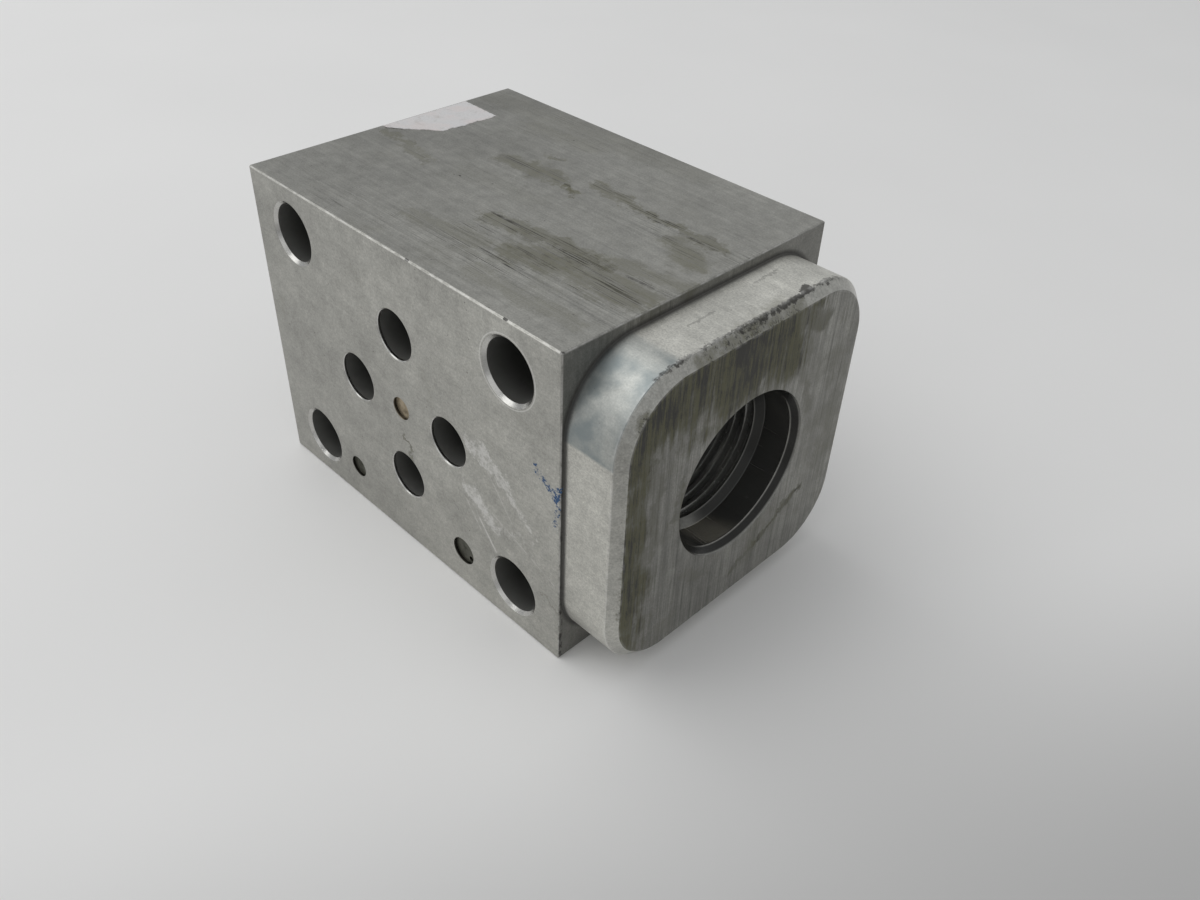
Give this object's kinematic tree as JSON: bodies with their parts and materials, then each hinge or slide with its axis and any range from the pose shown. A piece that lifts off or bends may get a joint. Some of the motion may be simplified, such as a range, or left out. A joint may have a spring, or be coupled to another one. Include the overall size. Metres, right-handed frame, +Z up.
{
  "type": "hydraulic spool valve",
  "caption": "Block-shaped hydraulic valve with a ported mounting face, a square threaded boss on one end and a sleeved, spring-returned spool inside.",
  "frame": {"origin": "centre of the block's bottom face", "axes": "+X along the spool towards the threaded boss, -Y out of the ported mounting face, +Z up"},
  "size_m": [0.071, 0.0426, 0.0441],
  "materials": {
    "aluminium_body": "milled, oil-stained",
    "hardened_steel": "ground",
    "seal_rubber": "satin",
    "ground_steel": "ground and lapped",
    "plain_steel": "plain",
    "spring_steel": "oiled",
    "seat_brass": "turned",
    "zinc_plated_steel": "zinc plated",
    "black_steel": "black oxide",
    "plug_brass": "tarnished",
    "pin_steel": "dull, oily",
    "label_paper": "matt, torn"
  },
  "bodies": {
    "housing": {"valve_body": "aluminium_body", "spool_sleeve": "hardened_steel", "o_ring_tank_a": "seal_rubber", "o_ring_a_pressure": "seal_rubber", "o_ring_pressure_b": "seal_rubber", "o_ring_b_tank": "seal_rubber", "o_ring_pilot": "seal_rubber", "stop_washer": "plain_steel", "retaining_ring": "spring_steel", "return_spring": "spring_steel", "spring_shim": "plain_steel", "end_plug": "zinc_plated_steel", "end_plug_o_ring": "seal_rubber", "gallery_plug": "black_steel", "centre_plug": "plug_brass", "left_pin": "pin_steel", "right_pin": "pin_steel", "label_remnant": "label_paper"},
    "spool_assembly": {"spool": "ground_steel", "spring_seat": "seat_brass"}
  },
  "joints": [
    {"name": "spool_slide", "type": "slide", "parent": "housing", "child": "spool_assembly", "axis": [1, 0, 0], "range_m": [-0.0038, 0], "stiffness_N_per_m": 1000, "springref_m": 0.005, "deforming": ["return_spring"]}
  ]
}
